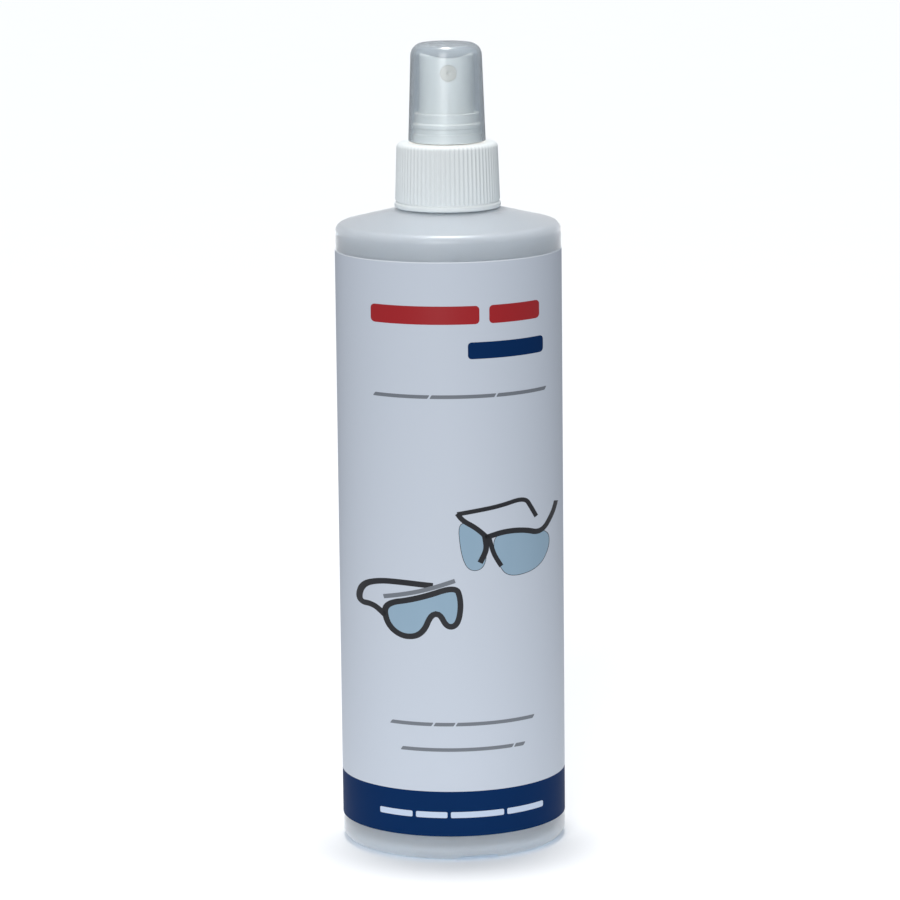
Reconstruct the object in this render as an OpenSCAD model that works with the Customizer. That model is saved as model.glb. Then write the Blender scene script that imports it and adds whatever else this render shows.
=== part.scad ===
// Lens cleaning spray: a cylinder bottle with a wrap label, and a fine-mist finger pump
// under a screw closure and a clear overcap. Millimetres, +Z up, origin at the centre of the foot.

/* [Bottle] */
// Outer diameter of the bottle's wall
body_d = 62.8; // [54:0.2:76]
// Height of the corner where the wall would meet the shoulder's slope
body_h = 174.5; // [140:0.5:220]
// Wall thickness of the bottle
bottle_wall = 0.9; // [0.6:0.1:1.3]
// Radius round the foot
foot_r = 3; // [2.2:0.2:4]
// Thickness of the base over the contact ring
base_t = 2.3; // [2:0.1:3]
// Height of the hollow under the base
push_up = 2.5; // [1.5:0.5:4]
// Width of the flat ring that the bottle stands on
ring_w = 3; // [2:0.5:5]
// Slope of the shoulder in degrees
shoulder_slope = 13.5; // [10:0.5:25]
// Radius where the wall turns into the shoulder
shoulder_r = 2.8; // [2:0.2:4]
// Width of each notch across the contact ring, over the mould's pinch line
notch_w = 13; // [8:1:16]
// Depth of each notch
notch_h = 0.9; // [0.5:0.1:1.2]
// Direction of the mould's parting line in plan
parting_angle = -82; // [-120:1:-60]

/* [Neck] */
// Diameter of the neck below its thread
neck_d = 21.6; // [18:0.1:26]
// Height of the neck above the shoulder's slope
neck_h = 14.05; // [13.5:0.05:18]
// Wall thickness of the neck
neck_wall = 1.8; // [1.4:0.1:2.2]
// How far the thread stands out of the neck
thread_depth = 1.05; // [0.8:0.05:1.2]
// Rise of the thread in one turn
thread_pitch = 3.175; // [2.8:0.025:3.4]
// Turns of thread
thread_turns = 1.5; // [1:0.25:1.75]

/* [Label] */
// Height of the label's lower edge
label_foot = 7.2; // [5:0.2:12]
// Bare wall between the label's upper edge and the shoulder's corner
label_clear = 6.8; // [4:0.2:12]
// Thickness of the label film
label_t = 0.08; // [0.06:0.01:0.15]
// Gap between the label's two ends
label_seam = 3; // [1:0.5:6]
// Bare gap from the fluid's level up to the label's upper edge
fill_below_label = 2.7; // [1:0.1:30]

/* [Closure] */
// Wall thickness of the closure at its foot
closure_wall = 2.2; // [1.6:0.1:2.6]
// Thickness of the closure's top
closure_top_t = 1.3; // [1:0.1:1.8]
// Draft of the closure's outside in degrees
closure_draft = 1.9; // [1:0.1:2.5]
// Number of grip ribs
rib_count = 70; // [40:1:80]
// Radius of each grip rib
rib_r = 0.36; // [0.25:0.01:0.42]
// Height of the plain bead at the closure's foot
closure_bead_h = 1.6; // [1.2:0.1:2.2]

/* [Pump] */
// Travel of the actuator
stroke = 5; // [4:0.5:6]
// Diameter of the pump stem
stem_d = 5; // [4.4:0.1:5.2]
// Bore of the stem
stem_bore = 2.2; // [1.8:0.1:2.4]
// Bore of the pump chamber, in which the piston slides
chamber_d = 6.8; // [6.4:0.1:8.2]
// Wall thickness of the pump chamber
chamber_wall = 1; // [0.8:0.1:1.2]
// Diameter of the check ball
ball_d = 3; // [2.6:0.1:3.2]
// Lift of the check ball
ball_lift = 1.2; // [0.8:0.1:1.4]
// Play of the piston along the stem, which opens the outlet
piston_play = 0.6; // [0.4:0.1:0.8]
// Wire diameter of the return spring
spring_wire = 0.5; // [0.4:0.05:0.6]
// Turns of the return spring
spring_turns = 7; // [6:1:8]
// Outer diameter of the dip tube
tube_d = 4; // [3.4:0.1:4.2]
// Bore of the dip tube
tube_bore = 2.7; // [2:0.1:2.9]
// Height of the dip tube's lowest point above the bottle's inner floor
tube_clear = 4; // [2:0.5:8]
// Thickness of the neck gasket
gasket_t = 1; // [0.6:0.1:1.6]
// Thickness of the stem gasket
stem_gasket_t = 2; // [1.4:0.1:2.4]

/* [Actuator] */
// Diameter of the actuator at its lower edge
actuator_d = 15.2; // [13:0.2:18.4]
// Height of the actuator from its lower edge
actuator_h = 18.1; // [16:0.1:22]
// Draft of the actuator's side in degrees
actuator_draft = 1; // [0.5:0.1:1.5]
// Depth of the finger dish where it breaks the front edge
dish_depth = 0.8; // [0.4:0.1:1.4]
// Radius of the finger dish
dish_r = 11.7; // [9:0.1:20]
// Slope of the finger dish down towards the back, in degrees
dish_slope = 11; // [0:1:12]
// Diameter of the nozzle insert
nozzle_d = 4.6; // [4:0.1:5]
// Distance from the actuator's top down to the nozzle's axis
nozzle_down = 4.9; // [4.4:0.1:6]
// Length of the nozzle insert
nozzle_len = 2.9; // [2.4:0.1:3.2]
// Depth of the insert's face below the actuator's side
nozzle_recess = 0.4; // [0.2:0.1:0.8]
// Diameter of the spray hole
spray_hole = 0.4; // [0.3:0.05:0.6]

/* [Overcap] */
// Wall thickness of the overcap
overcap_wall = 0.8; // [0.6:0.1:1.1]
// Draft of the overcap's side in degrees
overcap_draft = 2; // [1:0.1:2.5]
// Radius round the overcap's top
overcap_r = 3.8; // [2:0.2:5]
// Free height between the actuator and the overcap's top
overcap_headroom = 2.5; // [1.5:0.1:5]

/* [Hidden] */
$fn = 96;
arc_steps = 7;
eps = 0.01;

// Named clearances between pieces
run_gap = 0.1;      // flat faces that turn on each other
slide_gap = 0.02;   // piston in its chamber
swivel_gap = 0.03;  // stem in the actuator's socket
snap_gap = 0.05;    // turret's plug in the housing's cup
fit_gap = 0.3;      // actuator in the turret, overcap over the turret, stem collar in the chamber
thread_gap = 0.25;  // thread crest to the wall it faces
foot_gap = 0.5;     // closure's foot above the shoulder
fluid_gap = 0.1;    // fluid to everything it wets
label_gap = 0.02;   // adhesive under the label

// Bottle and neck
body_r = body_d / 2;
cavity_r = body_r - bottle_wall;
neck_r = neck_d / 2;
bore_r = neck_r - neck_wall;
slope = tan(shoulder_slope);
wall_rise = bottle_wall / cos(shoulder_slope);
root_z = body_h + (body_r - neck_r) * slope;
finish_z = root_z + neck_h;
ring_r = body_r - foot_r;
dish_edge_r = ring_r - ring_w;
inner_corner_r = shoulder_r - bottle_wall;
dish_floor_t = 1.2;

// Label and fluid
label_r = body_r + label_gap;
label_top = body_h - label_clear;
fill_z = label_top - fill_below_label;

// Closure
crest_r = neck_r + thread_depth;
closure_bore_r = crest_r + thread_gap;
closure_foot_r = closure_bore_r + closure_wall;
bead_stand = 0.45;
bead_r = closure_foot_r + bead_stand;
closure_z = body_h + (body_r - bead_r) * slope + foot_gap;
flange_t = 1.2;
closure_ceiling = finish_z + gasket_t + flange_t + run_gap;
closure_top = closure_ceiling + closure_top_t;
closure_edge_r = 1.3;

// Turret and the housing's cup
cup_r = bore_r - 1.8;
cup_bore_r = cup_r - 1.25;
plug_r = cup_bore_r - snap_gap;
hole_r = plug_r + 0.5;
stem_r = stem_d / 2;
plug_bore_r = stem_r + 1;
plug_len = 7.7;
turret_z = closure_top + run_gap;
turret_floor_t = 1;
turret_floor = turret_z + turret_floor_t;
turret_h = 8.2;
turret_bore_r = actuator_d / 2 + fit_gap;
turret_flange_r = turret_bore_r + 1.7;
plug_z = turret_z - plug_len;

// Pump chain, from the cup's floor down to the dip tube
cup_floor = plug_z - stem_gasket_t;
chamber_r = chamber_d / 2;
chamber_out_r = chamber_r + chamber_wall;
neck_stem_r = stem_r - 0.8;
collar_top = cup_floor - 0.2;
collar_h = 1.7;
collar_r = chamber_r - fit_gap;
stem_shoulder = cup_floor - 5.5;
piston_top = stem_shoulder - piston_play;
piston_len = 6.1;
piston_foot = piston_top - piston_len;
seat_gap = 0.03;
seat_h = 0.9;
plug_head_z = piston_foot - seat_gap;
plug_head_t = 1.2;
spring_r = chamber_r - 1;
plug_head_r = spring_r + spring_wire / 2 + 0.05;
spring_len = spring_turns * spring_wire + stroke + 1.3;
spring_top = plug_head_z - plug_head_t;
spring_seat = spring_top - spring_len;
ball_r = ball_d / 2;
cage_r = ball_r + 0.2;
cage_lip_r = ball_r - 0.15;
cage_lip_h = 0.6;
cage_top = spring_seat - cage_lip_h;
ball_z = cage_top - 0.02 - sqrt(ball_r * ball_r - cage_lip_r * cage_lip_r) - ball_lift;
ball_seat_c = ball_z - (ball_r + 0.01) * sqrt(2);
inlet_r = 0.9;
inlet_z = ball_seat_c + inlet_r;
tube_r = tube_d / 2;
tube_stop = inlet_z - 0.8;
socket_len = 9.5;
socket_z = tube_stop - socket_len;
socket_r = tube_r + 1;
cage_out_z = ball_seat_c;
cage_cone_h = chamber_out_r - socket_r;
tube_foot = base_t + tube_clear;
tube_slant = 40;
vent_r = 0.4;
vent_z = piston_top - 1.2;

// Actuator
actuator_r = actuator_d / 2;
actuator_z = turret_floor + stroke + 0.2;
actuator_top = actuator_z + actuator_h;
actuator_top_r = actuator_r - actuator_h * tan(actuator_draft);
actuator_wall = 1.1;
boss_r = stem_r + swivel_gap + 1.1;
boss_z = actuator_z + 0.6;
stem_grip = 8;
stem_top = boss_z + stem_grip;
actuator_ceiling = actuator_top - 8;
nozzle_z = actuator_top - nozzle_down;
nozzle_r = nozzle_d / 2;
nozzle_face = actuator_r - (nozzle_z - actuator_z) * tan(actuator_draft) - nozzle_recess;
channel_r = 0.8;
swirl_r = 1.2;

// Overcap
overcap_z = closure_top + 0.3;
overcap_in_r = turret_flange_r + fit_gap;
overcap_foot_r = overcap_in_r + overcap_wall;
overcap_top = actuator_top + overcap_headroom + overcap_wall;
overcap_crown = 0.5;

// Points along a round stretch of an outline, from angle a0 to a1 about (cx, cz)
function arc(cx, cz, r, a0, a1, n = arc_steps) =
    [for (i = [0:n]) let (a = a0 + (a1 - a0) * i / n) [cx + r * cos(a), cz + r * sin(a)]];

// Faces of a closed tube of n sections with m points each
function tube_faces(n, m) = concat(
    [[for (j = [m - 1:-1:0]) j]],
    [[for (j = [0:m - 1]) (n - 1) * m + j]],
    [for (i = [0:n - 2], j = [0:m - 1]) [i * m + j, i * m + (j + 1) % m, (i + 1) * m + j]],
    [for (i = [0:n - 2], j = [0:m - 1])
        [i * m + (j + 1) % m, (i + 1) * m + (j + 1) % m, (i + 1) * m + j]]);

// Outline of the bottle's cavity from the floor's centre to the neck's bore, drawn in by gap
function cavity_outline(gap) = let (
    r = cavity_r - gap,
    corner = inner_corner_r,
    lean = 90 - shoulder_slope,
    cone_foot = body_h - wall_rise - gap / cos(shoulder_slope) + (body_r - r) * slope,
    corner_z = cone_foot - corner * tan(lean / 2)
) concat(
    [[0, push_up + dish_floor_t + gap], [dish_edge_r, base_t + gap]],
    arc(r - foot_r, base_t + gap + foot_r, foot_r, -90, 0),
    arc(r - corner, corner_z, corner, 0, lean),
    [[bore_r - gap, body_h - wall_rise + (body_r - bore_r) * slope]]
);

// A helical thread: an embedded root, a crest that fades in and out at the ends
module thread(wall_r, crest, bottom_z, root_w, crest_w) {
    steps = 36;
    n = ceil(thread_turns * steps);
    out = crest > wall_r ? 1 : -1;
    root = wall_r - out * 0.35;
    low = wall_r - out * 0.15;
    fade_steps = 3;
    points = [for (i = [0:n], j = [0:3]) let (
        a = 360 * i / steps,
        fade = min(1, i / fade_steps, (n - i) / fade_steps),
        r = j == 0 || j == 3 ? root : low + (crest - low) * fade,
        half = (j == 0 || j == 3 ? root_w : crest_w) / 2,
        side = j < 2 ? -half : half
    ) [r * cos(a), r * sin(a), bottom_z + thread_pitch * i / steps + side]];
    faces = tube_faces(n + 1, 4);
    polyhedron(points, out > 0 ? faces : [for (f = faces) [for (k = [len(f) - 1:-1:0]) f[k]]]);
}

module bottle_shell() {
    lean = 90 - shoulder_slope;
    corner_z = body_h - shoulder_r * tan(lean / 2);
    outer = concat(
        [[0, push_up], [dish_edge_r * 0.55, push_up * 0.7], [dish_edge_r, 0]],
        arc(ring_r, foot_r, foot_r, -90, 0),
        arc(body_r - shoulder_r, corner_z, shoulder_r, 0, lean),
        [[neck_r, root_z], [neck_r, finish_z - 0.4], [neck_r - 0.4, finish_z], [bore_r, finish_z]]
    );
    inner = cavity_outline(0);
    rotate_extrude() polygon(concat(outer, [for (i = [len(inner) - 1:-1:0]) inner[i]]));
}

module notch() {
    slant = 2;
    rotate([0, 0, parting_angle])
        translate([dish_edge_r - ring_w, 0, -eps])
            rotate([90, 0, 90])
                linear_extrude(body_r)
                    polygon([[-notch_w / 2, 0], [notch_w / 2, 0],
                        [notch_w / 2 - slant, notch_h], [slant - notch_w / 2, notch_h]]);
}

module bottle() {
    color([0.80, 0.85, 0.89, 0.6]) {
        difference() {
            bottle_shell();
            notch();
            rotate([0, 0, 180]) notch();
        }
        thread(neck_r, crest_r, finish_z - 2.6 - thread_pitch * thread_turns, 1.6, 0.9);
    }
}

module wrap_label() {
    seam_angle = label_seam / label_r * 180 / PI;
    color([0.84, 0.87, 0.91])
        rotate([0, 0, parting_angle + 180 + seam_angle / 2])
            rotate_extrude(angle = 360 - seam_angle)
                translate([label_r, label_foot])
                    square([label_t, label_top - label_foot]);
}

module cleaning_fluid() {
    line = cavity_outline(fluid_gap);
    hole = fluid_gap;
    below = [for (p = line) if (p[1] < body_h / 2) p];
    step_z = cage_out_z - cage_cone_h - hole;
    color([0.80, 0.88, 0.94, 0.4])
        rotate_extrude() polygon(concat(
            below,
            [[cavity_r - fluid_gap, fill_z], [chamber_out_r + hole, fill_z],
                [chamber_out_r + hole, step_z], [socket_r + hole, step_z],
                [socket_r + hole, socket_z - hole], [tube_r + hole, socket_z - hole],
                [tube_r + hole, tube_foot - 0.5], [0, tube_foot - 0.5]]));
}

module closure() {
    draft = tan(closure_draft);
    side_top = closure_top - closure_edge_r;
    top_r = closure_foot_r - (side_top - closure_z) * draft;
    bead_half = closure_bead_h / 2;
    outline = concat(
        [[closure_bore_r, body_h + (body_r - closure_bore_r) * slope + foot_gap]],
        arc(bead_r - bead_half, closure_z + bead_half, bead_half, -90, 60),
        [[closure_foot_r - closure_bead_h * draft, closure_z + closure_bead_h + 0.1]],
        arc(top_r - closure_edge_r, side_top, closure_edge_r, closure_draft, 90),
        [[hole_r, closure_top], [hole_r, closure_ceiling], [closure_bore_r, closure_ceiling]]
    );
    rib_foot = closure_z + closure_bead_h;
    rib_len = side_top + 0.4 - rib_foot;
    color([0.94, 0.96, 0.96]) {
        rotate_extrude() polygon(outline);
        for (i = [0:rib_count - 1])
            rotate([0, 0, 360 * (i + 0.5) / rib_count])
                translate([closure_foot_r - closure_bead_h * draft - 0.14, 0, rib_foot - 0.3])
                    rotate([0, -closure_draft, 0]) cylinder(r = rib_r, h = rib_len, $fn = 24);
        thread(closure_bore_r, neck_r + thread_gap,
            finish_z - 2.6 - thread_pitch * (thread_turns + 0.5) - 0.2, 1.3, 0.7);
    }
}

module neck_gasket() {
    color([0.93, 0.93, 0.90])
        translate([0, 0, finish_z])
            difference() {
                cylinder(r = neck_r - 0.1, h = gasket_t);
                translate([0, 0, -eps]) cylinder(r = cup_r + 0.2, h = gasket_t + 2 * eps);
            }
}

module pump_housing() {
    flange_z = finish_z + gasket_t;
    outline = [
        [socket_r, socket_z], [socket_r, cage_out_z - cage_cone_h],
        [chamber_out_r, cage_out_z], [chamber_out_r, cup_floor - 1.2],
        [cup_r, cup_floor - 1.2], [cup_r, flange_z], [neck_r + 0.1, flange_z],
        [neck_r + 0.1, flange_z + flange_t], [cup_bore_r, flange_z + flange_t],
        [cup_bore_r, cup_floor], [chamber_r, cup_floor], [chamber_r, spring_seat],
        [cage_lip_r, spring_seat], [cage_lip_r, cage_top], [cage_r, cage_top],
        [cage_r, ball_seat_c + cage_r], [inlet_r, inlet_z], [inlet_r, tube_stop],
        [tube_r + slide_gap, tube_stop], [tube_r + slide_gap, socket_z]
    ];
    color([0.90, 0.92, 0.93])
        difference() {
            rotate_extrude() polygon(outline);
            translate([chamber_r - 1, 0, vent_z]) rotate([0, 90, 0]) cylinder(r = vent_r, h = 3);
        }
}

module turret() {
    step_z = turret_z + 2.6;
    bead_z = turret_z + 4.65;
    rim_z = turret_z + turret_h;
    tier_r = turret_bore_r + 0.95;
    step_r = turret_bore_r + 1.3;
    bead_round = 0.85;
    outline = concat(
        [[plug_bore_r, plug_z], [plug_r - 0.4, plug_z], [plug_r, plug_z + 0.8], [plug_r, turret_z]],
        [[turret_flange_r - 0.2, turret_z], [turret_flange_r, turret_z + 0.2]],
        arc(turret_flange_r - 0.35, step_z - 0.35, 0.35, 0, 90, 4),
        [[step_r, step_z], [step_r, bead_z - bead_round]],
        arc(turret_bore_r + 1.55 - bead_round, bead_z, bead_round, -50, 60),
        [[tier_r, bead_z + bead_round]],
        arc(tier_r - 0.3, rim_z - 0.3, 0.3, 0, 90, 4),
        [[turret_bore_r + 0.2, rim_z], [turret_bore_r, rim_z - 0.2], [turret_bore_r, turret_floor]],
        [[stem_r + 0.4, turret_floor], [stem_r + 0.4, turret_z], [plug_bore_r, turret_z]]
    );
    color([0.93, 0.95, 0.94]) rotate_extrude() polygon(outline);
}

module stem_gasket() {
    color([0.86, 0.86, 0.83])
        translate([0, 0, cup_floor])
            difference() {
                cylinder(r = cup_bore_r - snap_gap, h = stem_gasket_t);
                translate([0, 0, -eps])
                    cylinder(r = stem_r + swivel_gap, h = stem_gasket_t + 2 * eps);
            }
}

module dip_tube() {
    color([0.88, 0.91, 0.93])
        difference() {
            translate([0, 0, tube_foot]) cylinder(r = tube_r, h = tube_stop - 0.1 - tube_foot);
            translate([0, 0, tube_foot - 1]) cylinder(r = tube_bore / 2, h = tube_stop - tube_foot + 2);
            // slanted end, so that the tube can't seal itself against the floor
            translate([tube_r, 0, tube_foot])
                rotate([0, tube_slant, 0]) translate([-20, -5, -20]) cube([40, 10, 20]);
        }
}

module check_ball() {
    color([0.72, 0.74, 0.76]) translate([0, 0, ball_z]) sphere(r = ball_r);
}

// A coil with closed end turns: the wire lies flat for one turn, climbs, and lies flat again
module return_spring() {
    steps = 20;
    sides = 6;
    wire_r = spring_wire / 2;
    span = spring_len - spring_wire - 0.1;
    dead = spring_wire * 1.08;
    climb = (span - 2 * dead) / (spring_turns - 2);
    n = spring_turns * steps;
    function coil_z(t) = t < 1 ? dead * t
        : t > spring_turns - 1 ? span - dead * (spring_turns - t)
        : dead + climb * (t - 1);
    points = [for (i = [0:n], j = [0:sides - 1]) let (
        t = i / steps,
        r = spring_r + wire_r * cos(360 * j / sides),
        z = spring_seat + 0.05 + wire_r + coil_z(t) + wire_r * sin(360 * j / sides)
    ) [r * cos(360 * t), r * sin(360 * t), z]];
    color([0.70, 0.71, 0.73]) polyhedron(points, tube_faces(n + 1, sides));
}

module stem_plug() {
    spigot_r = stem_bore / 2 - 0.01;
    seat_z = plug_head_z;
    spigot_top = seat_z + seat_h + 4;
    flat = 0.45;
    color([0.82, 0.84, 0.86]) {
        rotate_extrude() polygon([
            [0, spring_top - 2], [spring_r - spring_wire / 2 - 0.25, spring_top - 2],
            [spring_r - spring_wire / 2 - 0.15, spring_top], [plug_head_r, spring_top],
            [plug_head_r, seat_z], [neck_stem_r, seat_z + seat_h], [0, seat_z + seat_h]]);
        intersection() {
            translate([0, 0, seat_z + seat_h - 0.2]) cylinder(r = spigot_r, h = spigot_top - seat_z - seat_h);
            translate([-flat, -3, seat_z]) cube([2 * flat, 6, 10]);
        }
    }
}

module piston() {
    sleeve_in = neck_stem_r + snap_gap;
    sleeve_out = sleeve_in + 0.6;
    lip_out = chamber_r - slide_gap;
    lip_in = lip_out - 0.4;
    seat_top = piston_foot + seat_h * (plug_head_r - sleeve_in) / (plug_head_r - neck_stem_r);
    seat_mid = piston_foot + seat_h * (plug_head_r - sleeve_out) / (plug_head_r - neck_stem_r);
    web_z = piston_foot + 2.6;
    web_t = 0.9;
    relief_r = sleeve_in + 0.25;
    relief_z = seat_top + 2;
    color([0.88, 0.90, 0.92]) rotate_extrude() polygon([
        [relief_r, seat_mid + 0.3], [sleeve_out, seat_mid], [sleeve_out, web_z], [lip_in, web_z],
        [lip_in, piston_foot + 1], [lip_out, piston_foot + 0.8], [lip_out, piston_top - 0.4],
        [lip_in, piston_top - 0.6], [lip_in, web_z + web_t], [sleeve_out, web_z + web_t],
        [sleeve_out, piston_top], [sleeve_in, piston_top], [sleeve_in, relief_z],
        [relief_r, relief_z]]);
}

module stem() {
    foot_z = plug_head_z + seat_h;
    port_z = foot_z + 1.4;
    outline = [
        [stem_bore / 2, foot_z], [neck_stem_r, foot_z], [neck_stem_r, stem_shoulder],
        [stem_r, stem_shoulder], [stem_r, collar_top - collar_h], [collar_r, collar_top - collar_h],
        [collar_r, collar_top - 0.4], [stem_r, collar_top], [stem_r, stem_top - 0.5],
        [stem_r - 0.3, stem_top], [stem_bore / 2, stem_top]
    ];
    color([0.90, 0.92, 0.94])
        difference() {
            rotate_extrude() polygon(outline);
            translate([-4, 0, port_z]) rotate([0, 90, 0]) cylinder(r = 0.4, h = 8);
        }
}

module actuator() {
    foot_in_r = actuator_r - actuator_wall;
    edge_r = 0.5;
    skirt = concat(
        [[foot_in_r, actuator_z], [actuator_r - 0.15, actuator_z], [actuator_r, actuator_z + 0.3]],
        arc(actuator_top_r - edge_r, actuator_top - edge_r, edge_r, actuator_draft, 90),
        [[0, actuator_top], [0, stem_top], [stem_r + swivel_gap, stem_top],
            [stem_r + swivel_gap, boss_z + 0.4], [stem_r + 0.4, boss_z], [boss_r, boss_z],
            [boss_r + 0.15, actuator_ceiling], [foot_in_r - 0.3, actuator_ceiling]]
    );
    dish_y = actuator_top_r;
    color([0.95, 0.96, 0.95])
        difference() {
            union() {
                rotate_extrude() polygon(skirt);
                for (a = [45:90:315])
                    rotate([0, 0, a]) translate([boss_r - 0.3, -0.4, actuator_z + 3])
                        cube([foot_in_r - boss_r + 0.5, 0.8, actuator_ceiling - actuator_z - 2.5]);
            }
            // finger dish, a round valley that runs from front to back
            translate([0, -dish_y, actuator_top - dish_depth + dish_r / cos(dish_slope)])
                rotate([-90 - dish_slope, 0, 0])
                    translate([0, 0, -15]) cylinder(r = dish_r, h = 50, $fn = 128);
            // socket of the nozzle insert, with the swirl post left standing in it
            difference() {
                translate([0, 0, nozzle_z]) rotate([90, 0, 0])
                    translate([0, 0, nozzle_face - nozzle_len]) cylinder(r = nozzle_r + slide_gap, h = 10);
                translate([0, 0, nozzle_z]) rotate([90, 0, 0])
                    translate([0, 0, nozzle_face - nozzle_len - 1]) cylinder(r = swirl_r, h = nozzle_len + 0.2);
            }
            // way from the stem to the socket
            translate([0, 0, stem_top - 1]) cylinder(r = channel_r, h = nozzle_z - stem_top + 1.4);
            translate([0, 0, nozzle_z + swirl_r]) rotate([90, 0, 0])
                cylinder(r = 0.5, h = nozzle_face - nozzle_len + 0.2);
            translate([0, 0, nozzle_z - 0.2]) cylinder(r = 0.5, h = swirl_r + 0.6);
        }
}

module nozzle_insert() {
    color([0.86, 0.85, 0.80])
        translate([0, 0, nozzle_z]) rotate([90, 0, 0]) translate([0, 0, nozzle_face - nozzle_len])
            difference() {
                cylinder(r = nozzle_r, h = nozzle_len);
                translate([0, 0, -eps]) cylinder(r = swirl_r + 0.12, h = nozzle_len - 0.7);
                cylinder(r = spray_hole / 2, h = nozzle_len + 1, $fn = 32);
                // shallow flare round the spray hole
                translate([0, 0, nozzle_len - 0.3]) cylinder(r1 = spray_hole / 2, r2 = 0.7, h = 0.3 + eps, $fn = 32);
            }
}

module overcap() {
    draft = tan(overcap_draft);
    side_top = overcap_top - overcap_crown - overcap_r;
    out_r = overcap_foot_r - (side_top - overcap_z) * draft;
    in_round = overcap_r - overcap_wall;
    outer = concat(
        [[overcap_foot_r - 0.15, overcap_z], [overcap_foot_r, overcap_z + 0.2]],
        arc(out_r - overcap_r, side_top, overcap_r, overcap_draft, 82, 10),
        [[(out_r - overcap_r) * 0.5, overcap_top - overcap_crown * 0.25], [0, overcap_top]]
    );
    inner = concat(
        [[0, overcap_top - overcap_wall], [(out_r - overcap_r) * 0.5,
            overcap_top - overcap_wall - overcap_crown * 0.25]],
        arc(out_r - overcap_r, side_top, in_round, 82, overcap_draft, 10),
        [[overcap_in_r, overcap_z + 0.2], [overcap_in_r + 0.1, overcap_z]]
    );
    color([0.75, 0.80, 0.86, 0.35]) rotate_extrude() polygon(concat(outer, inner));
}

bottle();
wrap_label();
cleaning_fluid();
closure();
neck_gasket();
pump_housing();
turret();
stem_gasket();
dip_tube();
check_ball();
return_spring();
stem_plug();
piston();
stem();
actuator();
nozzle_insert();
overcap();
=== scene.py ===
# %% [markdown]
# # A lens cleaning spray, modelled round its CAD frame
# The CAD model already knows every size and every moving part. This file loads it and gives it
# its looks: a translucent bottle, a printed wrap label, white moulded pump parts and a clear cap.
# Each new piece takes its place from the frame, so nothing has to be fitted by eye afterwards.

# %% Load the frame
import math
import bpy
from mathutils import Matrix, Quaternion, Vector


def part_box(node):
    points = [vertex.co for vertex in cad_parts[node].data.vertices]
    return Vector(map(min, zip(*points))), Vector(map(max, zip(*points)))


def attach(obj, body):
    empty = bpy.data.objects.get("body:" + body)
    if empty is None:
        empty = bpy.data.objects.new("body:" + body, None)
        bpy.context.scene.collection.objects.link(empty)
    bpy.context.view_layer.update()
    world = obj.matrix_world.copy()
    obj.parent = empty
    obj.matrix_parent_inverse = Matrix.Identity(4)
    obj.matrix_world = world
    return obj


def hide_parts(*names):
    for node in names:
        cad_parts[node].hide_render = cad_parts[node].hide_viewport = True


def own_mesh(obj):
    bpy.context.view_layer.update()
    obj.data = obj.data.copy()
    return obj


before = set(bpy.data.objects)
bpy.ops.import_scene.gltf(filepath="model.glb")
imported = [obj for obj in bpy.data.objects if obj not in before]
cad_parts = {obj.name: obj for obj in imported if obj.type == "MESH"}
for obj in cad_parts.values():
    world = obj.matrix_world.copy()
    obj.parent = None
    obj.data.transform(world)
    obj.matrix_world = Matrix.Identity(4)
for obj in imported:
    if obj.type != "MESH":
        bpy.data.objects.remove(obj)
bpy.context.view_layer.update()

# %% [markdown]
# ## Sizes
# Blender works in metres and a bottle is drawn in millimetres, so one factor turns one into the
# other. The heights and radii that other pieces depend on are read from the CAD nodes' boxes.

# %% Sizes from the frame
MM = 0.001


def reach(node):
    """Largest radius, lowest height and highest height of a CAD node, in millimetres."""
    low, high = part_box(node)
    return high.x / MM, low.z / MM, high.z / MM


body_r, _, finish_z = reach("bottle")
label_r, label_foot, label_top = reach("wrap_label")
bead_r, closure_z, closure_top = reach("closure")
flange_r, _, turret_top = reach("turret")
actuator_r, actuator_z, actuator_top = reach("actuator")
overcap_r, overcap_z, overcap_top = reach("overcap")
nozzle_low, nozzle_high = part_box("nozzle_insert")
nozzle_z = (nozzle_low.z + nozzle_high.z) / 2 / MM
nozzle_face = -nozzle_low.y / MM
nozzle_back = -nozzle_high.y / MM
nozzle_r = (nozzle_high.z - nozzle_low.z) / 2 / MM
print(f"bottle {body_r:.2f} x {finish_z:.2f}, label {label_r:.2f}, nozzle axis at {nozzle_z:.2f}")

# %% [markdown]
# ## Two helpers: selecting, and turning on a lathe
# An operator acts on whatever is selected, and the CAD nodes come in selected, so every piece
# starts by clearing the selection. Nearly everything here is round. A lathe in Blender is one
# ring of edges, extruded again and again along an outline and resized at each step.

# %% Selecting
def clear():
    """Leaves nothing selected."""
    if bpy.context.object and bpy.context.object.mode != "OBJECT":
        bpy.ops.object.mode_set(mode="OBJECT")
    bpy.ops.object.select_all(action="DESELECT")


def only(piece):
    """Makes piece the one selected and active object."""
    clear()
    piece.select_set(True)
    bpy.context.view_layer.objects.active = piece


def pick(piece, test, mode="VERT"):
    """In edit mode, selects the vertices, edges or faces whose centre passes the test, in mm."""
    bpy.ops.mesh.select_mode(type=mode)
    bpy.ops.mesh.select_all(action="DESELECT")
    bpy.ops.object.mode_set(mode="OBJECT")
    mesh = piece.data
    items = {"VERT": mesh.vertices, "EDGE": mesh.edges, "FACE": mesh.polygons}[mode]
    count = 0
    for item in items:
        if mode == "VERT":
            centre = item.co
        elif mode == "FACE":
            centre = item.center
        else:
            centre = (mesh.vertices[item.vertices[0]].co + mesh.vertices[item.vertices[1]].co) / 2
        item.select = test(piece.matrix_world @ centre / MM)
        count += item.select
    bpy.ops.object.mode_set(mode="EDIT")
    bpy.ops.mesh.select_mode(type=mode)
    return count


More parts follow.
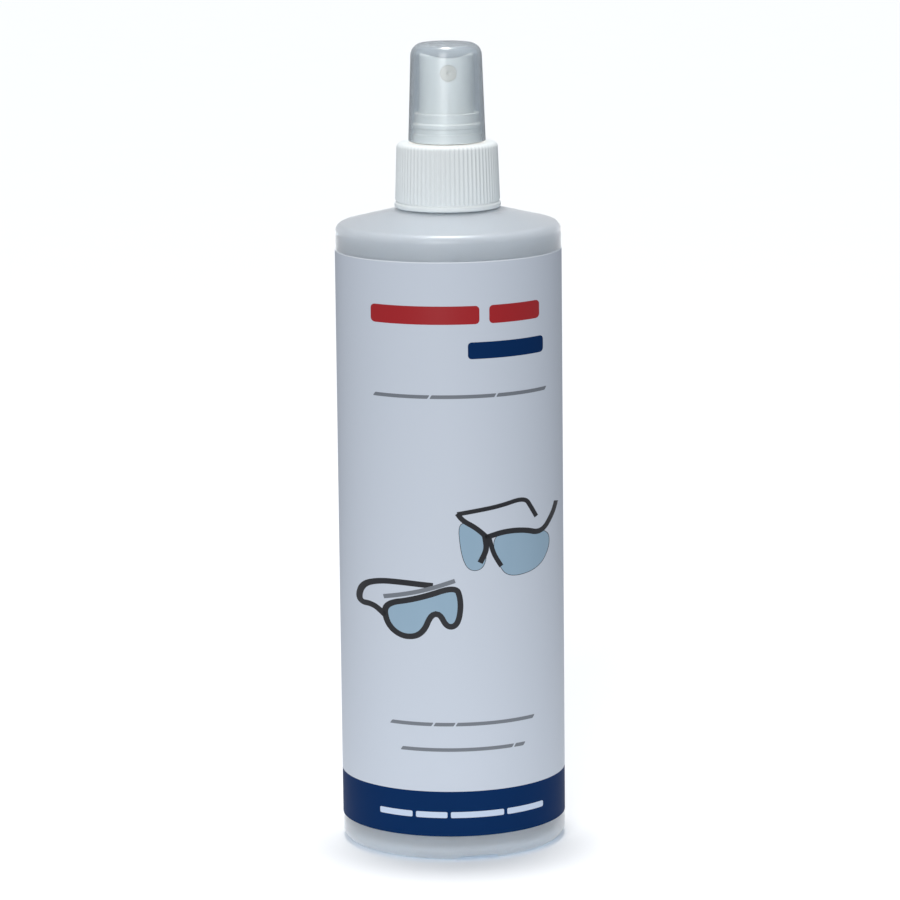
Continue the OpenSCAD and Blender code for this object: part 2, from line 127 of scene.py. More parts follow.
# %% Outlines with rounded corners
def outline(*corners):
    """Points of an outline through corners (r, z) or (r, z, rounding), with the corners rounded."""
    points = []
    for i, corner in enumerate(corners):
        here = Vector(corner[:2])
        if len(corner) == 2:
            points.append(here)
            continue
        to_last = (Vector(corners[i - 1][:2]) - here).normalized()
        to_next = (Vector(corners[(i + 1) % len(corners)][:2]) - here).normalized()
        half = to_last.angle(to_next) / 2
        centre = here + (to_last + to_next).normalized() * corner[2] / math.sin(half)
        start = here + to_last * corner[2] / math.tan(half) - centre
        end = here + to_next * corner[2] / math.tan(half) - centre
        turn = start.angle_signed(end)
        steps = max(3, round(abs(turn) / math.radians(9)))
        for k in range(steps + 1):
            angle = -turn * k / steps
            points.append(centre + Vector((
                start.x * math.cos(angle) - start.y * math.sin(angle),
                start.x * math.sin(angle) + start.y * math.cos(angle))))
    return [(p.x, p.y) for p in points]


# %% The lathe
def turned(name, points, segments=192):
    """A closed turned piece: a ring extruded along the outline's points, given in millimetres."""
    clear()
    on_axis = points[0][0] < 0.001
    path = points[1:] if on_axis else points + [points[0]]
    bpy.ops.mesh.primitive_circle_add(
        vertices=segments, radius=path[0][0] * MM, location=(0, 0, path[0][1] * MM),
        fill_type="TRIFAN" if on_axis else "NOTHING")
    piece = bpy.context.object
    piece.name = name
    bpy.ops.object.transform_apply(location=True)
    bpy.ops.object.mode_set(mode="EDIT")
    bpy.ops.mesh.select_mode(type="EDGE")
    if on_axis:
        pick(piece, lambda p: p.xy.length > path[0][0] * 0.9, "EDGE")
    else:
        bpy.ops.mesh.select_all(action="SELECT")
    for (r0, z0), (r1, z1) in zip(path, path[1:]):
        grow = max(r1, 0.0001) / r0
        bpy.ops.mesh.extrude_edges_move(TRANSFORM_OT_translate={"value": (0, 0, (z1 - z0) * MM)})
        bpy.ops.transform.resize(value=(grow, grow, 1), center_override=(0, 0, z1 * MM))
    bpy.ops.mesh.select_all(action="SELECT")
    bpy.ops.mesh.remove_doubles(threshold=0.0005 * MM)
    bpy.ops.mesh.normals_make_consistent(inside=False)
    bpy.ops.object.mode_set(mode="OBJECT")
    return piece


def smooth(piece, degrees=35):
    """Shades piece smooth, except over edges sharper than the angle."""
    only(piece)
    bpy.ops.object.shade_smooth_by_angle(angle=math.radians(degrees))
    return piece


def apply_modifiers(piece):
    """Applies every modifier on piece, in order."""
    only(piece)
    for modifier in list(piece.modifiers):
        bpy.ops.object.modifier_apply(modifier=modifier.name)


def cut(piece, cutter):
    """Cuts the cutter's shape out of piece and throws the cutter away."""
    modifier = piece.modifiers.new("cut", "BOOLEAN")
    modifier.operation = "DIFFERENCE"
    modifier.solver = "EXACT"
    modifier.object = cutter
    apply_modifiers(piece)
    bpy.data.objects.remove(cutter)


def report(piece):
    """Prints what was made."""
    size = [round(v / MM, 2) for v in piece.dimensions]
    print(f"{piece.name}: {len(piece.data.polygons)} faces, {size} mm")


# %% [markdown]
# ## Finishes
# Every plastic here has a faint skin from its mould. One node group makes that skin from two
# sizes of noise and is placed in each material with its own values. A second group gives the
# slow drift of colour that thick translucent plastic shows.

# %% Shared node groups
def new_group(name, inputs, outputs):
    """A shader node group with number inputs and number or colour outputs."""
    group = bpy.data.node_groups.new(name, "ShaderNodeTree")
    for label, value in inputs:
        socket = group.interface.new_socket(label, in_out="INPUT", socket_type="NodeSocketFloat")
        socket.default_value = value
    for label, kind in outputs:
        group.interface.new_socket(label, in_out="OUTPUT", socket_type=kind)
    start = group.nodes.new("NodeGroupInput")
    end = group.nodes.new("NodeGroupOutput")
    return group, start, end


def math_node(tree, operation, a, b=None):
    """A Math node fed by sockets or numbers; gives back its output."""
    node = tree.nodes.new("ShaderNodeMath")
    node.operation = operation
    for socket, value in zip(node.inputs, (a, b)):
        if value is None:
            continue
        if isinstance(value, (int, float)):
            socket.default_value = value
        else:
            tree.links.new(value, socket)
    return node.outputs[0]


def make_moulded_skin():
    """Fine mould texture: a height for bumps and a roughness that varies round its base."""
    group, start, end = new_group(
        "moulded_skin",
        [("Grain Size", 900.0), ("Base Roughness", 0.35), ("Roughness Spread", 0.1)],
        [("Height", "NodeSocketFloat"), ("Roughness", "NodeSocketFloat")])
    where = group.nodes.new("ShaderNodeTexCoord")
    fine = group.nodes.new("ShaderNodeTexNoise")
    broad = group.nodes.new("ShaderNodeTexNoise")
    fine.inputs["Detail"].default_value = 3
    broad.inputs["Scale"].default_value = 60
    broad.inputs["Detail"].default_value = 4
    for noise in (fine, broad):
        group.links.new(where.outputs["Object"], noise.inputs["Vector"])
    group.links.new(start.outputs["Grain Size"], fine.inputs["Scale"])
    height = math_node(group, "ADD", fine.outputs["Fac"],
                       math_node(group, "MULTIPLY", broad.outputs["Fac"], 0.6))
    centred = math_node(group, "SUBTRACT", broad.outputs["Fac"], 0.5)
    spread = math_node(group, "MULTIPLY", centred, start.outputs["Roughness Spread"])
    group.links.new(height, end.inputs["Height"])
    group.links.new(math_node(group, "ADD", start.outputs["Base Roughness"], spread),
                    end.inputs["Roughness"])
    return group


def make_slow_drift():
    """A soft mask from 0 to 1 that drifts along the piece, stretched upwards like blown plastic."""
    group, start, end = new_group(
        "slow_drift", [("Size", 30.0), ("Contrast", 1.0)], [("Mask", "NodeSocketFloat")])
    where = group.nodes.new("ShaderNodeTexCoord")
    stretch = group.nodes.new("ShaderNodeMapping")
    stretch.inputs["Scale"].default_value = (1, 1, 0.25)
    noise = group.nodes.new("ShaderNodeTexNoise")
    noise.inputs["Detail"].default_value = 2
    group.links.new(where.outputs["Object"], stretch.inputs["Vector"])
    group.links.new(stretch.outputs["Vector"], noise.inputs["Vector"])
    group.links.new(start.outputs["Size"], noise.inputs["Scale"])
    centred = math_node(group, "SUBTRACT", noise.outputs["Fac"], 0.5)
    scaled = math_node(group, "MULTIPLY", centred, start.outputs["Contrast"])
    group.links.new(math_node(group, "ADD", scaled, 0.5), end.inputs["Mask"])
    return group


moulded_skin = make_moulded_skin()
slow_drift = make_slow_drift()
print("node groups:", moulded_skin.name, slow_drift.name)


# %% [markdown]
# A finish is a Principled shader: the groups drive its colour, roughness and bump, and all that
# stays the same over the surface, such as how much light passes through, sits on its sockets.
# A plastic whose roughness wanders across about 0.27 came out blotchy after denoising, so each
# finish keeps its roughness clear of that value.

# %% A finish from the two groups
def finish(name, light, dark, roughness=0.35, spread=0.1, grain=900.0, bump=0.02, drift=30.0,
           **sockets):
    """A moulded finish whose colour drifts between two tones. Colours are linear."""
    material = bpy.data.materials.new(name)
    material.use_nodes = True
    tree = material.node_tree
    shader = tree.nodes["Principled BSDF"]
    skin = tree.nodes.new("ShaderNodeGroup")
    skin.node_tree = moulded_skin
    skin.inputs["Grain Size"].default_value = grain
    skin.inputs["Base Roughness"].default_value = roughness
    skin.inputs["Roughness Spread"].default_value = spread
    tone = tree.nodes.new("ShaderNodeGroup")
    tone.node_tree = slow_drift
    tone.inputs["Size"].default_value = drift
    mix = tree.nodes.new("ShaderNodeMix")
    mix.data_type = "RGBA"
    mix.inputs["A"].default_value = (*dark, 1)
    mix.inputs["B"].default_value = (*light, 1)
    relief = tree.nodes.new("ShaderNodeBump")
    relief.inputs["Strength"].default_value = bump
    relief.inputs["Distance"].default_value = 0.1 * MM
    tree.links.new(tone.outputs["Mask"], mix.inputs["Factor"])
    tree.links.new(mix.outputs["Result"], shader.inputs["Base Color"])
    tree.links.new(skin.outputs["Roughness"], shader.inputs["Roughness"])
    tree.links.new(skin.outputs["Height"], relief.inputs["Height"])
    tree.links.new(relief.outputs["Normal"], shader.inputs["Normal"])
    for label, value in sockets.items():
        shader.inputs[label.replace("_", " ")].default_value = value
    material.diffuse_color = (*light, 1)
    return material


# %% The finishes of this spray
bottle_plastic = finish("bottle_plastic", (0.90, 0.95, 0.995), (0.87, 0.925, 0.98), 0.35,
                        spread=0.08, Transmission_Weight=0.35, IOR=1.5, Subsurface_Weight=1.0,
                        Subsurface_Radius=(1.0, 1.0, 1.0), Subsurface_Scale=12 * MM,
                        Sheen_Weight=1.0, Sheen_Roughness=0.3)
white_plastic = finish("white_plastic", (0.83, 0.865, 0.86), (0.81, 0.845, 0.84), 0.5)
# Natural plastic darkened to a blue-grey: painted shade, so that the pump parts show through the
# bottle wall as a darker zone.
natural_plastic = finish("natural_plastic", (0.50, 0.60, 0.67), (0.44, 0.55, 0.63), 0.4)
nozzle_plastic = finish("nozzle_plastic", (0.72, 0.71, 0.66), (0.68, 0.67, 0.62), 0.42)
label_film = finish("label_film", (0.64, 0.69, 0.77), (0.61, 0.665, 0.745), 0.45, bump=0.03,
                    Specular_IOR_Level=0.35)
# The lighter colour of the label's unprinted top strip: a painted highlight for the bright line
# along its top edge.
film_edge_painted_highlight = finish("film_edge_painted_highlight", (0.85, 0.89, 0.94), (0.80, 0.84, 0.90), 0.35)
navy_ink = finish("navy_ink", (0.004, 0.029, 0.112), (0.003, 0.025, 0.100), 0.5,
                  Specular_IOR_Level=0.03)
red_ink = finish("red_ink", (0.42, 0.010, 0.016), (0.37, 0.008, 0.012), 0.35)
grey_ink = finish("grey_ink", (0.20, 0.22, 0.25), (0.17, 0.19, 0.22), 0.4)
white_ink = finish("white_ink", (0.62, 0.72, 0.88), (0.58, 0.68, 0.84), 0.4)
black_ink = finish("black_ink", (0.012, 0.013, 0.017), (0.02, 0.021, 0.026), 0.35)
lens_ink = finish("lens_ink", (0.36, 0.50, 0.62), (0.26, 0.40, 0.52), 0.35, drift=90.0)
gasket_rubber = finish("gasket_rubber", (0.60, 0.60, 0.56), (0.55, 0.55, 0.51), 0.6)
steel = finish("steel", (0.62, 0.63, 0.65), (0.55, 0.56, 0.58), 0.18, Metallic=1.0)
clear_tint = finish("clear_tint", (0.86, 0.915, 0.955), (0.83, 0.895, 0.94), 0.19, spread=0.05,
                    bump=0.01, Transmission_Weight=0.9, IOR=1.4, Specular_IOR_Level=0.1)
fluid_clear = finish("fluid_clear", (0.92, 0.96, 0.99), (0.90, 0.95, 0.985), 0.02, spread=0.01,
                     bump=0.0, Transmission_Weight=1.0, IOR=1.33)
print(len(bpy.data.materials), "materials")

# %% [markdown]
# Clear plastic throws hardly any shadow on what it covers, but a path tracer would lose most of
# the light that should pass through it. So the clear pieces let the lamps' rays straight through:
# a Mix Shader swaps in a Transparent shader for shadow rays.

# %% Letting the lamps through
def let_lamps_through(material, tint):
    """Swaps in a tinted Transparent shader for the rays that lamps send."""
    tree = material.node_tree
    path = tree.nodes.new("ShaderNodeLightPath")
    clear_way = tree.nodes.new("ShaderNodeBsdfTransparent")
    clear_way.inputs["Color"].default_value = (*tint, 1)
    swap = tree.nodes.new("ShaderNodeMixShader")
    tree.links.new(path.outputs["Is Shadow Ray"], swap.inputs["Fac"])
    tree.links.new(tree.nodes["Principled BSDF"].outputs[0], swap.inputs[1])
    tree.links.new(clear_way.outputs[0], swap.inputs[2])
    tree.links.new(swap.outputs[0], tree.nodes["Material Output"].inputs["Surface"])


let_lamps_through(clear_tint, (0.77, 0.71, 0.66))
let_lamps_through(fluid_clear, (0.97, 0.985, 1.0))
let_lamps_through(bottle_plastic, (0.58, 0.63, 0.68))


# %% [markdown]
# ## The camera, the light and the floor
# A product like this is photographed with a long lens from about a metre away, a little above
# the bottle. The world is white to the camera and softer to the object, so that its sides fall
# off into grey. One soft box lights the front, and a soft sun overhead draws the shadow under it.

# %% Camera
LENS = 174.8
DISTANCE = 1.2237
ELEVATION = 10.265
AZIMUTH = -4.5
ROLL = -0.62
AIM = Vector((-0.0001, 0, 0.1104))


def sphere_point(azimuth, elevation):
    """Unit vector towards a place seen from the object, azimuth 0 being the front."""
    a, e = math.radians(azimuth), math.radians(elevation)
    return Vector((math.sin(a) * math.cos(e), -math.cos(a) * math.cos(e), math.sin(e)))


clear()
back = sphere_point(AZIMUTH, ELEVATION)
bpy.ops.object.camera_add(location=AIM + back * DISTANCE)
camera = bpy.context.object
camera.data.lens = LENS
camera.data.clip_start = 0.05
camera.rotation_mode = "QUATERNION"
facing = (-back).to_track_quat("-Z", "Y")
camera.rotation_quaternion = facing @ Quaternion((0, 0, 1), math.radians(ROLL))
bpy.context.scene.camera = camera
print("camera", [round(v, 3) for v in camera.location])


# %% Lights
def soft_box(name, azimuth, elevation, distance, width, height, power, colour=(1, 1, 1)):
    """An area light that looks at the middle of the bottle."""
    clear()
    place = AIM + sphere_point(azimuth, elevation) * distance
    bpy.ops.object.light_add(type="AREA", location=place)
    light = bpy.context.object
    light.name = name
    light.data.shape = "RECTANGLE"
    light.data.size = width
    light.data.size_y = height
    light.data.energy = power
    light.data.color = colour
    light.rotation_mode = "QUATERNION"
    light.rotation_quaternion = (AIM - place).to_track_quat("-Z", "Y")
    return light


soft_box("key", -15, 26, 1.3, 0.45, 0.9, 7.0)
clear()
bpy.ops.object.light_add(type="SUN", location=(0, 0, 1))
overhead = bpy.context.object
overhead.name = "overhead"
overhead.data.energy = 2.2
overhead.data.angle = math.radians(11)
overhead.rotation_euler = (math.radians(-5), 0, 0)

# %% World
world = bpy.data.worlds.new("studio")
bpy.context.scene.world = world
world.use_nodes = True
tree = world.node_tree
tree.nodes.clear()
seen = tree.nodes.new("ShaderNodeLightPath")
white = tree.nodes.new("ShaderNodeBackground")
soft = tree.nodes.new("ShaderNodeBackground")
mix = tree.nodes.new("ShaderNodeMixShader")
out = tree.nodes.new("ShaderNodeOutputWorld")
white.inputs["Color"].default_value = (1, 1, 1, 1)
soft.inputs["Color"].default_value = (0.90, 0.955, 1.03, 1)
soft.inputs["Strength"].default_value = 0.43
tree.links.new(seen.outputs["Is Camera Ray"], mix.inputs["Fac"])
tree.links.new(soft.outputs[0], mix.inputs[1])
tree.links.new(white.outputs[0], mix.inputs[2])
tree.links.new(mix.outputs[0], out.inputs["Surface"])

print("world:", world.name)

# %% [markdown]
# The floor is pale paper. Only the part near the bottle throws much light back at it, so for
# every ray but the camera's the paper turns darker away from the middle. That keeps the lower
# half of the bottle from being lit as brightly as the upper half.

# %% Floor
POOL_R = 0.45
clear()
bpy.ops.mesh.primitive_plane_add(size=8, location=(0, 0, -0.1 * MM))
floor = bpy.context.object
floor.name = "floor"
floor_paper = finish("floor_paper", (0.90, 0.90, 0.90), (0.89, 0.89, 0.89), 0.9, bump=0.0,
                     Specular_IOR_Level=0.0)
tree = floor_paper.node_tree
paper = tree.nodes["Principled BSDF"]
where = tree.nodes.new("ShaderNodeTexCoord")
spread = tree.nodes.new("ShaderNodeMapping")
spread.inputs["Scale"].default_value = (1 / POOL_R, 1 / POOL_R, 1)
pool = tree.nodes.new("ShaderNodeTexGradient")
pool.gradient_type = "SPHERICAL"
fall = tree.nodes.new("ShaderNodeValToRGB")
fall.color_ramp.elements[0].color = (0.22, 0.22, 0.225, 1)
fall.color_ramp.elements[1].color = (0.85, 0.85, 0.85, 1)
bounce = tree.nodes.new("ShaderNodeBsdfDiffuse")
seen = tree.nodes.new("ShaderNodeLightPath")
choose = tree.nodes.new("ShaderNodeMixShader")
tree.links.new(where.outputs["Object"], spread.inputs["Vector"])
tree.links.new(spread.outputs["Vector"], pool.inputs["Vector"])
tree.links.new(pool.outputs["Fac"], fall.inputs["Fac"])
tree.links.new(fall.outputs["Color"], bounce.inputs["Color"])
tree.links.new(seen.outputs["Is Camera Ray"], choose.inputs["Fac"])
tree.links.new(bounce.outputs[0], choose.inputs[1])
tree.links.new(paper.outputs[0], choose.inputs[2])
tree.links.new(choose.outputs[0], tree.nodes["Material Output"].inputs["Surface"])
floor.data.materials.append(floor_paper)
print("floor:", [round(v, 2) for v in floor.dimensions], "m")

# %% How the picture is made
scene = bpy.context.scene
scene.view_settings.view_transform = "Standard"
scene.cycles.use_denoising = True
scene.cycles.max_bounces = 16
scene.cycles.transmission_bounces = 12
scene.cycles.sample_clamp_indirect = 3
print("view transform:", scene.view_settings.view_transform)

# %% [markdown]
# ## The bottle
# The real one is blow-moulded: a tube of plastic blown out against a mould, so its wall is thin
# and even, its corners are soft, and its foot is pushed up in the middle. It is turned as one
# closed outline, outside and inside, because the wall's thickness shows through it.

# %% Bottle wall
WALL = 0.9
FOOT_ROUND = 3.0
SHOULDER_ROUND = 2.8
SHOULDER_CORNER = 174.5
NECK_R = 10.8
NECK_BORE = 9.0
SLOPE = math.tan(math.radians(13.5))
BASE = 2.3
PUSH_UP = 2.5
ring_edge = body_r - FOOT_ROUND - 3.0


def shoulder(r, down=0.0):
    """Height of the shoulder's slope at radius r."""
    return SHOULDER_CORNER + (body_r - r) * SLOPE - down


inner_r = body_r - WALL
inner_drop = WALL / math.cos(math.atan(SLOPE))
bottle = turned("bottle_wall", outline(
    (0, PUSH_UP), (4, PUSH_UP - 0.04), (14, PUSH_UP * 0.72), (ring_edge, 0, 1.2),
    (body_r, 0, FOOT_ROUND), (body_r, SHOULDER_CORNER, SHOULDER_ROUND),
    (NECK_R, shoulder(NECK_R), 0.8), (NECK_R, finish_z, 0.4), (NECK_BORE, finish_z, 0.4),
    (NECK_BORE, shoulder(NECK_BORE, inner_drop), 1.2),
    (inner_r, shoulder(inner_r, inner_drop), SHOULDER_ROUND - WALL),
    (inner_r, BASE, FOOT_ROUND), (ring_edge, BASE, 1.2), (14, BASE + 0.8), (4, PUSH_UP + 1.16),
    (0, PUSH_UP + 1.2)), segments=256)
report(bottle)

# %% [markdown]
# Where the mould pinches the tube shut it leaves a ridge across the foot, so the ring that the
# bottle stands on is cleared there. The foot's vertices near the mould's parting line are
# pressed flat onto a slightly higher level, in steps that make a soft ramp.

# %% Notches in the foot
PARTING = -82
NOTCH_STEPS = ((6.6, 0.35), (6.0, 0.75), (5.4, 1.1), (4.8, 1.3))
only(bottle)
bpy.ops.object.mode_set(mode="EDIT")
for side in (0, 180):
    along = Vector((math.cos(math.radians(PARTING + side)), math.sin(math.radians(PARTING + side))))
    for half_width, level in NOTCH_STEPS:
        found = pick(bottle, lambda p: p.z < level - 0.001 and p.xy.dot(along) > ring_edge - 5
                     and abs(p.xy.cross(along)) < half_width)
        bpy.ops.transform.resize(value=(1, 1, 0), center_override=(0, 0, level * MM))
print("last notch step moved", found, "vertices")
bpy.ops.object.mode_set(mode="OBJECT")

# %% [markdown]
# ## The screw thread
# A thread is a small section that turns and climbs at once. That is the Screw modifier: four
# points go round one and a half times and rise by the pitch at each turn.

# %% Thread
PITCH = 3.175
TURNS = 1.5
THREAD_DEPTH = 1.05
THREAD_SINK = 0.3
THREAD_START = 2.6


def thread(name, root_r, crest_r, foot_z, root_w, crest_w):
    """A helical ridge between two radii, tapered to nothing at both ends."""
    clear()
    bpy.ops.mesh.primitive_plane_add(size=MM, rotation=(math.pi / 2, 0, 0))
    ridge = bpy.context.object
    ridge.name = name
    bpy.ops.object.transform_apply(rotation=True)
    bpy.ops.object.mode_set(mode="EDIT")
    middle = (root_r + crest_r) / 2
    bpy.ops.transform.resize(value=(abs(crest_r - root_r), 1, root_w))
    bpy.ops.transform.translate(value=(middle * MM, 0, foot_z * MM))
    outward = crest_r > root_r
    pick(ridge, lambda p: (p.x > middle) == outward)
    bpy.ops.transform.resize(value=(1, 1, crest_w / root_w), center_override=(0, 0, foot_z * MM))
    bpy.ops.object.mode_set(mode="OBJECT")
    screw = ridge.modifiers.new("thread", "SCREW")
    screw.angle = math.tau * TURNS
    screw.screw_offset = PITCH * TURNS * MM
    screw.steps = screw.render_steps = round(64 * TURNS)
    screw.use_merge_vertices = False
    apply_modifiers(ridge)
    bpy.ops.object.mode_set(mode="EDIT")
    bpy.ops.mesh.select_mode(type="VERT")
    bpy.ops.mesh.select_all(action="SELECT")
    bpy.ops.mesh.normals_make_consistent(inside=False)
    bpy.ops.object.mode_set(mode="OBJECT")
    return ridge


thread("neck_thread", NECK_R - THREAD_SINK, NECK_R + THREAD_DEPTH,
       finish_z - THREAD_START - PITCH * TURNS, 1.6, 0.9)
bottle.select_set(True)
bpy.context.view_layer.objects.active = bottle
bpy.ops.object.join()
bottle.data.materials.clear()
bottle.data.materials.append(bottle_plastic)
smooth(bottle)
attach(bottle, "bottle")
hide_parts("bottle")
report(bottle)

# %% [markdown]
# ## The label
# One sheet of film goes round the bottle and leaves a narrow gap where its ends meet. It is one
# thin upright face, spun round the axis. A cut at the band's height gives the band faces of
# their own, so its edge is as crisp as print. A second cut marks off a hair of unprinted film
# above the print. That strip is coloured lighter than the film as a painted highlight, which
# draws the bright line along the label's top edge.

# %% Label
SEAM = 3.0
BAND_TOP = 20.0
FILM = 0.08
# Width of the label's top strip that is coloured as a painted highlight.
PAINTED_HIGHLIGHT_STRIP = 0.3
seam_angle = SEAM / label_r
start_angle = math.radians(PARTING + 180) + seam_angle / 2
middle_r = label_r - FILM / 2
clear()
bpy.ops.mesh.primitive_plane_add(
    size=MM, rotation=(math.pi / 2, 0, start_angle),
    location=(middle_r * MM * math.cos(start_angle), middle_r * MM * math.sin(start_angle),
              (label_foot + label_top) / 2 * MM))
label = bpy.context.object
label.name = "label_sheet"
label.scale = (FILM, label_top - label_foot, 1)
bpy.ops.object.transform_apply(location=True, rotation=True, scale=True)
bpy.ops.object.mode_set(mode="EDIT")
bpy.ops.mesh.select_all(action="SELECT")
bpy.ops.mesh.spin(steps=300, angle=math.tau - seam_angle, center=(0, 0, 0), axis=(0, 0, 1))
bpy.ops.mesh.select_all(action="SELECT")
bpy.ops.mesh.bisect(plane_co=(0, 0, BAND_TOP * MM), plane_no=(0, 0, 1))
bpy.ops.mesh.select_all(action="SELECT")
bpy.ops.mesh.bisect(plane_co=(0, 0, (label_top - PAINTED_HIGHLIGHT_STRIP) * MM), plane_no=(0, 0, 1))
bpy.ops.mesh.select_all(action="SELECT")
bpy.ops.mesh.normals_make_consistent(inside=False)
for material in (label_film, navy_ink, film_edge_painted_highlight):
    label.data.materials.append(material)
band_faces = pick(label, lambda p: p.z < BAND_TOP, "FACE")
label.active_material_index = 1
bpy.ops.object.material_slot_assign()
# The top strip of film gets the lighter third colour: a painted highlight that draws the bright
# line along the label's top edge.
pick(label, lambda p: p.z > label_top - PAINTED_HIGHLIGHT_STRIP, "FACE")
label.active_material_index = 2
bpy.ops.object.material_slot_assign()
bpy.ops.object.mode_set(mode="OBJECT")
smooth(label)
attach(label, "bottle")
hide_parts("wrap_label")
print("band faces:", band_faces)
report(label)

# %% [markdown]
# ## The print on the label
# The print is ink film lying on the label. Each mark is drawn flat in front of the bottle and
# then projected onto the label with a Shrinkwrap modifier, the way a transfer is rubbed down.
# The marks are plain bars, dashes and a drawing of eyewear, with no words in them.

# %% Drawing a flat mark
INK = 0.02
CUT_STEP = 1.25


def flat_shape(name, corners, rounding=0.0, segments=6):
    """A flat face in front of the label through corners (x, z) in mm, with rounded corners."""
    clear()
    bpy.ops.mesh.primitive_circle_add(
        vertices=len(corners), radius=MM, fill_type="NGON", rotation=(math.pi / 2, 0, 0),
        location=(0, -40 * MM, 0))
    shape = bpy.context.object
    shape.name = name
    bpy.ops.object.transform_apply(location=True, rotation=True)
    for vertex, (x, z) in zip(shape.data.vertices, corners):
        vertex.co.x, vertex.co.z = x * MM, z * MM
    if rounding:
        bpy.ops.object.mode_set(mode="EDIT")
        bpy.ops.mesh.select_mode(type="VERT")
        bpy.ops.mesh.select_all(action="SELECT")
        bpy.ops.mesh.bevel(offset=rounding * MM, segments=segments, affect="VERTICES")
        bpy.ops.object.mode_set(mode="OBJECT")
    return shape


def rub_down(name, shapes, layer=0):
    """Joins flat shapes, lays them on the label and gives them the thickness of ink."""
    clear()
    for shape in shapes:
        shape.select_set(True)
    bpy.context.view_layer.objects.active = shapes[0]
    if len(shapes) > 1:
        bpy.ops.object.join()
    mark = bpy.context.object
    mark.name = name
    bpy.ops.object.mode_set(mode="EDIT")
    bpy.ops.mesh.select_all(action="SELECT")
    low = math.degrees(math.asin(min(v.co.x for v in mark.data.vertices) / MM / label_r))
    high = math.degrees(math.asin(max(v.co.x for v in mark.data.vertices) / MM / label_r))
    for k in range(math.ceil(low / CUT_STEP), math.ceil(high / CUT_STEP)):
        bpy.ops.mesh.select_all(action="SELECT")
        cut_x = label_r * math.sin(math.radians(k * CUT_STEP))
        bpy.ops.mesh.bisect(plane_co=(cut_x * MM, 0, 0), plane_no=(1, 0, 0))
    bpy.ops.mesh.select_all(action="SELECT")
    bpy.ops.mesh.quads_convert_to_tris()
    bpy.ops.object.mode_set(mode="OBJECT")
    wrap = mark.modifiers.new("lay on", "SHRINKWRAP")
    wrap.target = label
    wrap.wrap_method = "PROJECT"
    wrap.use_project_y = True
    wrap.use_positive_direction = True
    wrap.use_negative_direction = False
    wrap.offset = (0.01 + layer * INK) * MM
    film = mark.modifiers.new("ink", "SOLIDIFY")
    film.thickness = INK * MM
    film.offset = 1
    apply_modifiers(mark)
    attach(mark, "bottle")
    report(mark)
    return mark


def ink(shape, material):
    """Gives a whole flat shape one ink."""
    shape.data.materials.clear()
    shape.data.materials.append(material)
    return shape


def bar(x0, x1, z0, z1, material, slant=0.0):
    """A bar with rounded ends, slanted by moving its upper edge along."""
    corners = [(x0, z0), (x1, z0), (x1 + slant, z1), (x0 + slant, z1)]
    return ink(flat_shape("bar", corners, min(z1 - z0, x1 - x0) * 0.22, 4), material)


def dashes(x0, x1, z0, z1, widths, material, slant=0.0):
    """A row of dashes between x0 and x1, with widths in the given proportions and even gaps."""
    gap = (z1 - z0) * 0.55
    unit = (x1 - x0 - gap * (len(widths) - 1)) / sum(widths)
    row = []
    for width in widths:
        row.append(bar(x0, x0 + width * unit, z0, z1, material, slant))
        x0 += width * unit + gap
    return row


# %% Bars and dashes
rub_down("print_red_bar", dashes(-23.1, 23.1, 150.6, 155.6, (6, 3), red_ink))
rub_down("print_navy_bar", [bar(2.6, 24.2, 141.0, 145.6, navy_ink)])
rub_down("print_grey_lines",
         dashes(-22.8, 24.6, 130.2, 131.2, (4, 5, 4), grey_ink, 0.6)
         + dashes(-19.5, 20.2, 38.6, 39.6, (4, 2, 8), grey_ink, 0.6)
         + dashes(-16.8, 17.4, 31.4, 32.4, (11, 1), grey_ink, 0.6))
rub_down("print_band_line", dashes(-22.4, 23.2, 12.5, 14.2, (4, 4, 7, 5), white_ink))

# %% [markdown]
# ## Eyewear on the label
# The label carries a picture of what the spray cleans: a pair of spectacles and a pair of
# goggles. They are drawn here from plain shapes, each one a flat outline. A frame is the lens
# outline inset by its own width, so that one shape gives both the dark rim and the pale lens.

# %% Easing corners
def eased(points, closed, rounds=3):
    """Cuts every corner to a quarter and three quarters of its edges, over and over."""
    for _ in range(rounds):
        following = points[1:] + points[:1] if closed else points[1:]
        cut_points = []
        for (x0, z0), (x1, z1) in zip(points, following):
            cut_points += [(x0 * 0.75 + x1 * 0.25, z0 * 0.75 + z1 * 0.25),
                           (x0 * 0.25 + x1 * 0.75, z0 * 0.25 + z1 * 0.75)]
        points = cut_points if closed else [points[0]] + cut_points[1:-1] + [points[-1]]
    return points


# %% A framed lens
def framed(name, corners, rim, frame_ink, lens):
    """A soft flat shape whose border of width rim has one ink and whose middle another."""
    shape = flat_shape(name, eased(corners, True))
    shape.data.materials.clear()
    shape.data.materials.append(frame_ink)
    shape.data.materials.append(lens)
    bpy.ops.object.mode_set(mode="EDIT")
    bpy.ops.mesh.select_mode(type="FACE")
    bpy.ops.mesh.select_all(action="SELECT")
    bpy.ops.mesh.inset(thickness=rim * MM, use_even_offset=True)
    shape.active_material_index = 1
    bpy.ops.object.material_slot_assign()
    bpy.ops.object.mode_set(mode="OBJECT")
    return shape


def stroke(name, points, width, material):
    """A line of even width through points (x, z), drawn edge by edge and given its width."""
    points = eased(points, False)
    left, right = [], []
    for i, point in enumerate(points):
        before = Vector(points[max(i - 1, 0)])
        after = Vector(points[min(i + 1, len(points) - 1)])
        side = (after - before).normalized().orthogonal() * width / 2
        left.append(Vector(point) + side)
        right.append(Vector(point) - side)
    return ink(flat_shape(name, [(p.x, p.y) for p in left + right[::-1]]), material)


